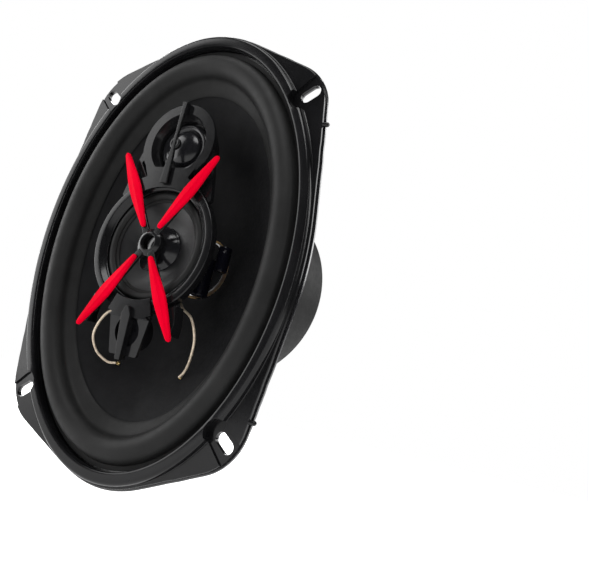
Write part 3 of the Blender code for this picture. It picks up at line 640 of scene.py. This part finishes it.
def trim_ring():
    rows = [flange_loop(0.9, TRIM_BACK), flange_loop(0.9, PLATE_H - 0.5), flange_loop(1.0, PLATE_H - 0.2),
            flange_loop(1.3, PLATE_H), ellipse(80.6, 116.9, PLATE_H, AROUND),
            ellipse(80.3, 116.6, PLATE_H + 0.2, AROUND),
            ellipse(80.0, 116.3, 5.9, AROUND), ellipse(79.6, 115.9, 6.5, AROUND),
            ellipse(79.0, 115.3, 7.0, AROUND),
            ellipse(78.3, 114.6, BAND_H, AROUND), ellipse(75.8, 111.3, BAND_H, AROUND),
            ellipse(75.0, 110.5, 6.9, AROUND), ellipse(74.7, 110.2, 6.4, AROUND),
            ellipse(74.6, 110.1, 5.5, AROUND), ellipse(74.6, 110.1, TRIM_BACK, AROUND)]
    cups = []
    for sx, sy in corners():
        outline = turned_about(oblong(40.0, 12.5), math.atan2(sy, sx), sx * (SLOT_X + 6.5),
                               sy * (SLOT_Y + 6.5))
        cups.append(slab(outline, 2.7, 12.0))
    piece("trim_moulding", [lofted(rows[::-1], ring=True)], "trim_ring", cuts=cups + slot_cuts(), bevel=0.25)


def flange_x(y):
    low, high = 0.0, math.pi / 2
    for _ in range(30):
        middle = (low + high) / 2
        if flange_reach(middle) * math.sin(middle) < abs(y):
            low = middle
        else:
            high = middle
    return flange_reach(low) * math.cos(low)


PEG_YS, PEG_H = (67.6, -72.4), 2.65


def pegs():
    """Round snap pegs on the right-hand edge."""
    shells = []
    for y in PEG_YS:
        edge = flange_x(y)
        rows = []
        for reach, radius in ((-3.0, 1.15), (1.5, 1.15), (2.1, 1.0), (2.45, 0.7), (2.6, 0.01)):
            turns = [2 * math.pi * k / 24 for k in range(24)]
            rows.append([(edge + reach, y + radius * math.cos(t), PEG_H + radius * math.sin(t))
                         for t in turns])
        shells.append(lofted(rows, caps=True))
    piece("trim_pegs", shells, (), slot="black_plastic")


trim_ring()
pegs()


# ---------------------------------------------------------------- woofer

ROLL_A, ROLL_B, ROLL_R, ROLL_H = 65.7, 100.4, 6.1, 2.0
FOOT_H, RUBBER = 1.9, 0.7               # height of the roll's outer foot, and the rubber's thickness


def surround():
    """The rubber roll, glued under the trim and on the cone's edge."""
    line = [(0.0, 74.0, 109.5, FOOT_H), (0.0, ROLL_A + ROLL_R + 0.6, ROLL_B + ROLL_R + 0.6, FOOT_H)]
    steps = 22
    for step in range(1, steps):
        t = math.pi * step / steps
        reach = ROLL_R * math.cos(t)
        line.append((step / steps, ROLL_A + reach, ROLL_B + reach, ROLL_H + ROLL_R * math.sin(t)))
    for share, lift in ((0.018, 1.7), (0.026, 1.2), (0.036, 1.0), (0.05, 0.95), (0.09, 0.95), (0.105, 0.9),
                        (0.112, 0.6)):
        right, top = cone_loop(share, lift, 4)[:2]
        line.append((1.0, right[0], top[1], right[2]))
    rows, weights = [], []
    for sign, order in ((1, line), (-1, line[::-1])):
        for i, (weight, a, b, h) in enumerate(order):
            before, after = order[max(i - 1, 0)], order[min(i + 1, len(order) - 1)]
            along = Vector((after[1] - before[1], after[3] - before[3])).normalized() * sign
            side = Vector((along.y, -along.x)) * (RUBBER / 2) * sign
            if sign > 0 and side.y < 0 or sign < 0 and side.y > 0:
                side = -side
            rows.append(ellipse(a + side.x, b + side.x, h + side.y, AROUND))
            weights += [weight] * AROUND
    thing = piece("rubber_roll", [lofted(rows, ring=True)], "surround", weld=False, moves=False, sharp=50.0)
    stretched(thing, WOOFER, weights)


def woofer():
    front = [cone_loop(s / 28) for s in range(29)]
    back = [cone_loop(s / 28, -1.05) for s in range(29)]
    holes = [spun([(0.0, -5.0), (1.3, -5.0), (1.3, -20.0), (0.0, -20.0)], (sx * EYELET_X, EYELET_Y), 0, 24)
             for sx in (-1, 1)]
    piece("paper_cone", [lofted(front + back[::-1], ring=True)], "woofer_cone", WOOFER, cuts=holes)
    eyelet = [(0.0, -11.9), (0.7, -11.7), (1.0, -12.2), (1.0, -15.6), (0.0, -15.6)]
    for side, sx in (("left", -1), ("right", 1)):
        piece(f"eyelet_{side}", [spun(eyelet, (sx * EYELET_X, EYELET_Y), 0.15, 32)], f"lead_eyelet_{side}",
              WOOFER)
    piece("coil_former", [spun([(15.6, -31.5), (16.0, -31.5), (16.0, -60.0), (15.6, -60.0)], soft=0.1)],
          "voice_coil_former", WOOFER)
    piece("coil_winding", [spun([(16.3, -48.0), (17.0, -48.0), (17.0, -59.0), (16.3, -59.0)], soft=0.15)],
          "voice_coil", WOOFER)
    piece("neck_collar", [spun([(8.6, -29.6), (15.3, -31.6), (15.3, -33.0), (8.6, -31.0)], soft=0.3)],
          "dust_collar", WOOFER)


def spider():
    """Corrugated centring disc, from the coil former to the basket's ledge."""
    line = [(16.6, -36.6), (17.2, -37.8)]
    count = 64
    for step in range(count + 1):
        share = step / count
        line.append((blend(19.0, 46.5, share), -37.6 + 1.3 * math.sin(4 * math.pi * share)))
    line += [(47.6, -38.0), (48.6, -38.35), (52.6, -38.35)]
    rows = sheet_rows(line, 0.5, lambda r, h: ellipse(r, r, h, AROUND))
    radii = [math.hypot(*row[0][:2]) for row in rows]
    weights = [1.0 - (radius - 17.6) / 29.0 for radius in radii for _ in range(AROUND)]
    thing = piece("corrugated_disc", [lofted(rows, ring=True)], "spider", weld=False, moves=False, sharp=60.0)
    stretched(thing, WOOFER, weights)


surround()
woofer()
spider()


# ---------------------------------------------------------------- motor

def motor():
    hole = [(0.0, -48.0), (2.4, -48.0), (2.4, -60.0), (0.0, -60.0)]
    plate = [(17.8, -50.3), (46.5, -50.3), (46.5, -56.3), (17.8, -56.3)]
    piece("motor_top_plate", [spun(plate, soft=0.4)], "top_plate",
          cuts=[spun(hole, at, 0, 24) for at in rivet_places()])
    for number, at in enumerate(rivet_places(), 1):
        rivet = [(0.0, -46.9), (1.2, -47.0), (2.6, -47.4), (3.6, -48.2), (3.6, -48.5), (2.0, -48.5),
                 (2.0, -56.3), (0.0, -56.3)]
        piece(f"frame_rivet_{number}", [spun(rivet, at, 0.2, 32)], f"basket_rivet_{number}")
    ring = [(23.0, -56.6), (50.0, -56.6), (50.0, -70.6), (23.0, -70.6)]
    piece("magnet_ring", [spun(ring, soft=0.8)], "ferrite_magnet")
    yoke = [(3.2, -49.8), (14.9, -49.8), (14.9, -70.9), (47.0, -70.9), (47.0, -76.4), (5.8, -76.4),
            (5.8, -72.8), (3.2, -72.8)]
    piece("motor_yoke", [spun(yoke, soft=0.4)], "back_yoke")
    post = [(2.9, -14.6), (7.0, -14.6), (7.0, -49.5), (2.9, -49.5)]
    piece("driver_post", [spun(post, soft=0.4, steps=64)], "centre_post")
    boot = [(50.4, -51.0), (53.5, -51.0), (53.5, -75.0), (51.6, -78.4), (49.5, -80.0), (47.5, -80.0),
            (46.5, -79.1), (46.5, -76.7), (50.4, -76.7)]
    piece("rubber_boot", [spun(boot, soft=1.0, steps=160)], "magnet_boot")
    label = [(0.0, -76.7), (45.8, -76.7), (45.8, -77.3), (0.0, -77.3)]
    piece("label_disc", [spun(label, soft=0.2, steps=160)], "rear_label")


motor()


# ---------------------------------------------------------------- terminals and leads

def terminals():
    half = 17.0
    board = softened([(half, -5.0), (half, 5.0), (-half, 5.0), (-half, -5.0)], 1.5)
    holes = [spun([(0.0, 4.0), (1.5, 4.0), (1.5, -1.0), (0.0, -1.0)], (x, 0.0), 0, 24) for x in (-9.0, 9.0)]
    piece("laminate_board", [slab(board, 0.6, 2.2)], "terminal_board", place=SEAT, cuts=holes, bevel=0.15)
    for sx, polarity, width in ((-1, "positive", 6.3), (1, "negative", 4.8)):
        x, side = sx * 9.0, width / 2
        outline = softened([(side, -2.6), (side, 15.0), (side - 1.4, 17.0), (1.4 - side, 17.0), (-side, 15.0),
                            (-side, -2.6)], 0.5)
        outline = [(x + px, py) for px, py in outline]
        holes = [spun([(0.0, 4.5), (radius, 4.5), (radius, 1.8), (0.0, 1.8)], (x, y), 0, 24)
                 for y, radius in ((0.0, 1.5), (12.5, 0.9))]
        piece(f"push_tab_{polarity}", [slab(outline, 2.5, 3.3)], f"terminal_{polarity}", place=SEAT,
              cuts=holes, bevel=0.12)
        rivet = [(0.0, 4.6), (1.6, 4.4), (2.3, 3.6), (1.2, 3.6), (1.2, 0.8), (0.0, 0.8)]
        piece(f"tab_rivet_{polarity}", [spun(rivet, (x, 0.0), 0.2, 32)], f"terminal_rivet_{polarity}",
              place=SEAT)


def lead(name, route, radius, stands_for):
    points = smooth_route(route, 14)
    around = 16
    thing = piece(name, [piped(points, radius, around)], stands_for, weld=False, moves=False, sharp=60.0)
    layer = thing.data.uv_layers.new(name="strands")
    lengths = [0.0]
    for a, b in zip(points, points[1:]):
        lengths.append(lengths[-1] + (b - a).length)
    for polygon in thing.data.polygons:
        columns = [thing.data.loops[i].vertex_index % around for i in polygon.loop_indices]
        wraps = max(columns) - min(columns) > around / 2
        for i, column in zip(polygon.loop_indices, columns):
            row = thing.data.loops[i].vertex_index // around
            turn = (column + around if wraps and column < around / 2 else column) / around
            layer.data[i].uv = (turn, lengths[row] / (2 * math.pi * radius))
    weights = [lengths[index // around] / lengths[-1] for index in range(len(thing.data.vertices))]
    stretched(thing, WOOFER, weights)


def leads():
    left = [(-11.0, -27.0, -4.5), (-17.0, -32.5, 1.0), (-25.5, -38.5, 1.5), (-31.0, -48.5, -0.5),
            (-29.5, -56.5, -4.5), (-24.5, -60.4, -8.6), (-EYELET_X - 0.4, EYELET_Y, -10.9)]
    right = [(12.0, -24.8, -8.5), (17.0, -27.8, -4.5), (24.5, -32.0, -3.0), (28.5, -41.0, -4.0),
             (27.0, -50.5, -7.0), (23.5, -57.0, -10.0), (EYELET_X + 0.3, EYELET_Y, -10.9)]
    lead("front_braid_left", left, 0.65, "front_lead_left")
    lead("front_braid_right", right, 0.65, "front_lead_right")
    for sx, polarity in ((-1, "positive"), (1, "negative")):
        route = [(sx * 9.0, -71.5, -33.5), (sx * 10.0, -73.5, -29.0), (sx * 14.5, -72.0, -23.5),
                 (sx * 19.0, -66.5, -19.5), (sx * 20.4, -61.6, -18.2), (sx * EYELET_X, EYELET_Y, -16.6)]
        lead(f"rear_braid_{polarity}", route, 0.7, f"rear_lead_{polarity}")


terminals()
leads()


# ---------------------------------------------------------------- mid-range

MID_AROUND = 120


def mid_range():
    at = (0.0, MID_Y)
    shell = [(31.6, 11.9), (34.8, 11.9), (35.2, 11.5), (35.0, 7.0), (32.5, 5.4), (25.0, -5.5), (17.5, -14.3),
             (4.2, -14.3), (4.2, -12.5), (16.5, -12.5), (23.4, -4.8), (29.4, 4.8), (30.6, 6.4), (30.6, 8.7),
             (28.5, 8.7), (28.4, 9.5), (28.8, 9.9), (29.3, 10.1)]
    piece("mid_basket", [spun(shell, at, 0.3, 160)], "mid_housing")
    turns = [math.pi * (1 - i / 12) for i in range(13)]
    arch = [(25.2 + 1.9 * math.cos(t), 8.0 + 1.6 * math.sin(t)) for t in turns]
    line = [(22.9, 7.3), (23.2, 7.75)] + [(r + 0.7, h) for r, h in arch] + [(28.4, 7.4), (30.2, 7.2)]

    def roll_row(r, h):
        return [(x, y + MID_Y, z) for x, y, z in ellipse(r, r, h, MID_AROUND)]

    rows = sheet_rows(line, 0.45, roll_row)
    radii = [abs(row[0][0]) for row in rows]
    weights = [1.0 - (radius - 23.8) / 4.4 for radius in radii for _ in range(MID_AROUND)]
    thing = piece("mid_roll", [lofted(rows, ring=True)], "mid_surround", weld=False, moves=False, sharp=60.0)
    stretched(thing, MID, weights)
    cone = softened([(7.9, 0.4), (10.5, 2.2), (17.5, 4.9), (24.8, 7.2)], 3.0, closed=False, steps=6)
    piece("mid_paper_cone", [skinned(cone, 0.6, at, MID_AROUND)], "mid_cone", MID)
    turns = [math.pi / 4 * i / 16 for i in range(17)]
    dome = [(15.3 * math.sin(t), 15.3 * math.cos(t) - 7.85) for t in turns]
    piece("mid_cap", [skinned(dome + [(11.1, 2.8), (11.5, 2.75)], 0.5, at, 96)], "mid_dust_cap", MID,
          sharp=60.0)


def along_arm(r, side, angle):
    return (r * math.cos(angle) - side * math.sin(angle),
            MID_Y + r * math.sin(angle) + side * math.cos(angle))


def arm_angles():
    return {"upper_right": BLADE_ANGLE, "upper_left": math.pi - BLADE_ANGLE,
            "lower_left": math.pi + BLADE_ANGLE, "lower_right": -BLADE_ANGLE}


def bridge():
    shells = []
    hub = [(4.1, 14.2), (4.7, 14.2), (7.0, 13.1), (7.0, 12.2), (6.6, 8.8), (4.1, 8.8)]
    for angle in arm_angles().values():
        outline = [along_arm(r, side, angle)
                   for r, side in ((5.3, -1.9), (45.0, -1.7), (46.5, 0.0), (45.0, 1.7), (5.3, 1.9))]
        shells.append(slab(softened(outline, 1.2), 12.2, 13.9))
    plate = [(20.2, -32.0), (25.3, -29.2), (27.2, -37.4), (26.9, -43.6), (25.4, -43.6)]
    rib = [(24.0, -29.6), (25.3, -29.2), (27.2, -37.4), (26.9, -43.6), (25.5, -43.6), (25.8, -37.4)]
    for sx in (-1, 1):
        shells.append(slab([(sx * x, y) for x, y in plate], 10.6, 12.6))
        shells.append(slab([(sx * x, y) for x, y in rib], 5.5, 11.0))
    tongue = softened(mirrored([(0.0, -14.2), (2.8, -13.7), (4.6, -12.0), (5.2, -9.6), (5.2, -5.0)]), 1.2)
    shells.append(slab(tongue, 8.8, 10.5))
    piece("bridge_arms", shells, "bridge", bevel=0.35)
    piece("bridge_hub", [spun(hub, (0.0, MID_Y), 0.25, 96)], (), slot="black_plastic")


BLADE_START, BLADE_END = 8.6, 53.8


def blades():
    """Red blades: long lozenges with a crowned face."""
    middle = blend(BLADE_START, BLADE_END, 0.52)
    for name, angle in arm_angles().items():
        sides = [(BLADE_START, -0.7), (9.6, -1.3), (middle - 6.0, -3.1), (middle, -3.5), (middle + 6.0, -3.1),
                 (52.6, -1.4), (BLADE_END, -0.6)]
        sides += [(r, -side) for r, side in reversed(sides)]
        outline = softened([along_arm(r, side, angle) for r, side in sides], 0.9)
        centre = Vector(along_arm(middle, 0.0, angle))
        rows = [[(x, y, 14.2) for x, y in outline], [(x, y, 15.1) for x, y in outline]]
        for h, inset in ((15.45, 0.35), (15.6, 0.7)):
            row = []
            for i, (x, y) in enumerate(outline):
                here = Vector((x, y))
                edge = (Vector(outline[(i + 1) % len(outline)]) - Vector(outline[i - 1])).normalized()
                inward = Vector((-edge.y, edge.x))
                if inward.dot(centre - here) < 0:
                    inward = -inward
                row.append((*(here + inward * inset), h))
            rows.append(row)
        piece(f"blade_{name}", [lofted(rows, caps=True)], f"red_blade_{name}", sharp=50.0)


mid_range()
bridge()
blades()


# ---------------------------------------------------------------- tweeter

def tab_outline(sign, half_angle, inner, outer, foot):
    middle = sign * 90
    inside = arc(0, MID_Y, inner, middle - half_angle, middle + half_angle, 24)
    outside = arc(0, MID_Y, outer, middle + half_angle, middle + half_angle * 0.75, 4)
    other_side = arc(0, MID_Y, outer, middle - half_angle * 0.75, middle - half_angle, 4)
    width = 0.93 * outer * math.sin(math.radians(half_angle))
    return inside + outside + [(-width * sign, foot), (width * sign, foot)] + other_side


def mid_clearance(back, front):
    """A round cutter that leaves the mid-range's bezel its room."""
    return slab(arc(0, MID_Y, 35.55, 0, 357, 119), back, front)


def tweeter():
    at = (0.0, TWEETER_Y)
    plate = slab(mirrored([(9.5, 34.6)] + arc(0, TWEETER_Y, 21.5, -56, 90, 60)), 10.4, 12.2)
    neck = slab(softened(mirrored([(25.4, 22.0), (27.9, 23.4), (25.3, 36.5), (21.5, 50.5)]), 0.8), 8.2, 10.8)
    tab = slab(tab_outline(1, 27.0, 28.9, 36.4, 38.5), 12.0, 13.4)
    cup = spun([(0.0, 11.0), (18.5, 11.0), (18.5, 9.0), (17.2, 2.0), (14.8, 0.4), (14.6, -3.2), (0.0, -3.2)],
               at, 0)
    bore = spun([(0.0, 13.0), (16.9, 13.0), (14.8, 8.4), (14.4, 7.6), (14.4, 4.6), (13.0, 4.6),
                 (13.0, -2.0), (0.0, -2.0)], at, 0)
    slots = [slab(turned_about(oblong(11.0, 2.4), sx * math.radians(52), sx * 17.2, 38.2), 5.0, 13.0)
             for sx in (-1, 1)]
    piece("tweeter_shell", [plate], "tweeter_housing", adds=[cup, neck, tab],
          cuts=[mid_clearance(6.0, 12.2), bore] + slots, bevel=0.25)
    dome = [(9.6 * math.sin(t), 6.2 + 3.6 * math.cos(t)) for t in [math.pi / 2 * i / 16 for i in range(16)]]
    turns = [math.pi * i / 10 for i in range(11)]
    roll = [(12.0 - 1.5 * math.cos(t), 6.0 + 0.9 * math.sin(t)) for t in turns]
    piece("silk_dome", [skinned(dome + [(9.8, 5.9)] + roll[1:] + [(13.7, 5.95)], 0.3, at, 120)],
          "tweeter_dome", TWEETER, sharp=60.0)
    bar = slab(softened(mirrored([(2.2, 29.6), (1.5, 44.0), (1.0, 48.2), (0.8, 54.0), (1.4, 73.6)]), 0.6),
               13.9, 15.4)
    foot = slab(mirrored([(1.3, 66.9), (1.4, 73.6)]), 12.5, 14.5)
    piece("tweeter_guard", [bar, foot], "tweeter_bar", bevel=0.3)
    hub = [(1.4, 15.0), (2.7, 15.0), (3.0, 14.6), (3.0, 13.0), (1.4, 13.0)]
    piece("guard_hub", [spun(hub, (0.0, 51.0), 0.2, 64)], (), slot="black_plastic")


tweeter()


# ---------------------------------------------------------------- super tweeter

def super_tweeter():
    plate = slab(softened(mirrored([(8.4, -22.6), (12.4, -2.7)]), 1.0), -1.6, 0.0)
    at = (0.0, -11.0)
    cup = spun([(0.0, -1.0), (9.0, -1.0), (9.0, -8.6), (8.0, -9.6), (0.0, -9.6)], at, 0)
    bore = spun([(0.0, 1.0), (7.3, 1.0), (7.3, -8.0), (0.0, -8.0)], at, 0)
    piece("pod_shell", [plate], "super_tweeter_housing", place=POD, adds=[cup], cuts=[bore], bevel=0.25)
    bar = slab(mirrored([(1.5, -24.8), (2.7, -3.0), (0.9, 1.0)]), 1.4, 3.3)
    rib = slab(mirrored([(1.4, -24.6), (2.2, -4.6)]), -1.2, 1.8)
    piece("pod_guard", [bar, rib], (), place=POD, slot="black_plastic", bevel=0.3)
    piece("pod_tab", [slab(tab_outline(-1, 21.0, 28.9, 37.6, -38.4), 11.6, 13.4)], (), slot="black_plastic",
          cuts=[mid_clearance(4.0, 12.2)], bevel=0.25)
    cone = softened([(0.0, -2.6), (3.0, -3.0), (6.3, -2.0)], 1.0, closed=False)
    piece("pod_diaphragm", [skinned(cone, 0.5, at, 64)], "super_tweeter_diaphragm", place=POD, sharp=60.0)


def capacitors():
    """Radial capacitors lying along y: a sleeve, a crimp and a plain can end."""
    for name, radius, x, h, low, high in (("capacitor_large", 4.4, 13.0, -19.2, -18.0, 2.0),
                                          ("capacitor_small", 3.5, 22.6, -18.6, -4.0, 9.0)):
        place = FACE @ Matrix.Translation((x, 0.0, h)) @ Matrix.Rotation(-math.pi / 2, 4, "X")
        sleeve = [(0.0, high - 0.3), (radius - 1.0, high - 0.3), (radius - 0.7, high),
                  (radius - 0.2, high - 0.1),
                  (radius, high - 0.7), (radius, high - 2.0), (radius - 0.4, high - 2.6),
                  (radius, high - 3.2), (radius, low + 0.4), (radius - 0.4, low), (0.0, low)]
        piece(f"{name}_sleeve", [spun(sleeve, soft=0.25, steps=64)], name, place=place)


super_tweeter()
capacitors()


# ---------------------------------------------------------------- studio

ROOM_LIGHT, BACKDROP = 0.05, 1.0        # the world's light on the object, and its white behind it
FLOOR_REACH, FLOOR_GLOW = 3.0, 0.97


def emitter(name, place, size, power, aim=(0.0, 0.02, 0.0)):
    light = bpy.data.lights.new(name, "AREA")
    light.shape = "RECTANGLE"
    light.size, light.size_y = size
    light.energy = power
    lamp = bpy.data.objects.new(name, light)
    lamp.location = place
    lamp.rotation_euler = (Vector(aim) - Vector(place)).to_track_quat("-Z", "Y").to_euler()
    bpy.context.scene.collection.objects.link(lamp)


def toward(azimuth, elevation, distance):
    """A place around the speaker: azimuth runs from its front to its right."""
    turn, rise = math.radians(azimuth), math.radians(elevation)
    return (distance * math.sin(turn) * math.cos(rise), -distance * math.cos(turn) * math.cos(rise),
            distance * math.sin(rise))


def studio():
    world = bpy.data.worlds.new("studio")
    bpy.context.scene.world = world
    world.use_nodes = True
    tree = world.node_tree
    background = tree.nodes["Background"]
    background.inputs["Color"].default_value = (1.0, 1.0, 1.0, 1.0)
    background.inputs["Strength"].default_value = ROOM_LIGHT
    bright = node(tree, "ShaderNodeBackground", Color=(1.0, 1.0, 1.0, 1.0), Strength=BACKDROP)
    seen = tree.nodes.new("ShaderNodeLightPath")
    mixed = tree.nodes.new("ShaderNodeMixShader")
    tree.links.new(seen.outputs["Is Camera Ray"], mixed.inputs["Fac"])
    tree.links.new(background.outputs["Background"], mixed.inputs[1])
    tree.links.new(bright.outputs["Background"], mixed.inputs[2])
    tree.links.new(mixed.outputs["Shader"], tree.nodes["World Output"].inputs["Surface"])
    emitter("left_box", toward(-71.0, 12.0, 1.15), (1.2, 1.3), 25.0)
    emitter("front_box", toward(15.0, 52.0, 1.1), (0.6, 0.4), 8.0)
    emitter("top_box", toward(-20.0, 78.0, 1.1), (0.8, 0.5), 5.0)
    emitter("right_strip", toward(74.0, 18.0, 1.2), (0.10, 0.9), 3.0)
    emitter("back_left_box", toward(-140.0, 20.0, 1.2), (0.7, 0.8), 10.0)
    emitter("back_right_box", toward(142.0, 25.0, 1.3), (0.7, 0.8), 9.0)
    floor_z = CAD_BOX[0][2] - 0.001
    mesh = bpy.data.meshes.new("floor")
    signs = ((1, 1), (-1, 1), (-1, -1), (1, -1))
    mesh.from_pydata([(sx * FLOOR_REACH, sy * FLOOR_REACH, floor_z) for sx, sy in signs], [], [(0, 1, 2, 3)])
    floor = bpy.data.objects.new("floor", mesh)
    bpy.context.scene.collection.objects.link(floor)
    pale = bpy.data.materials.new("pale_floor")
    pale.use_nodes = True
    shader = pale.node_tree.nodes["Principled BSDF"]
    shader.inputs["Base Color"].default_value = (0.8, 0.8, 0.8, 1.0)
    shader.inputs["Roughness"].default_value = 0.9
    shader.inputs["Specular IOR Level"].default_value = 0.0
    shader.inputs["Emission Color"].default_value = (1.0, 1.0, 1.0, 1.0)
    shader.inputs["Emission Strength"].default_value = FLOOR_GLOW
    mesh.materials.append(pale)
    bpy.context.scene.view_settings.view_transform = "Standard"


studio()

bpy.context.view_layer.update()
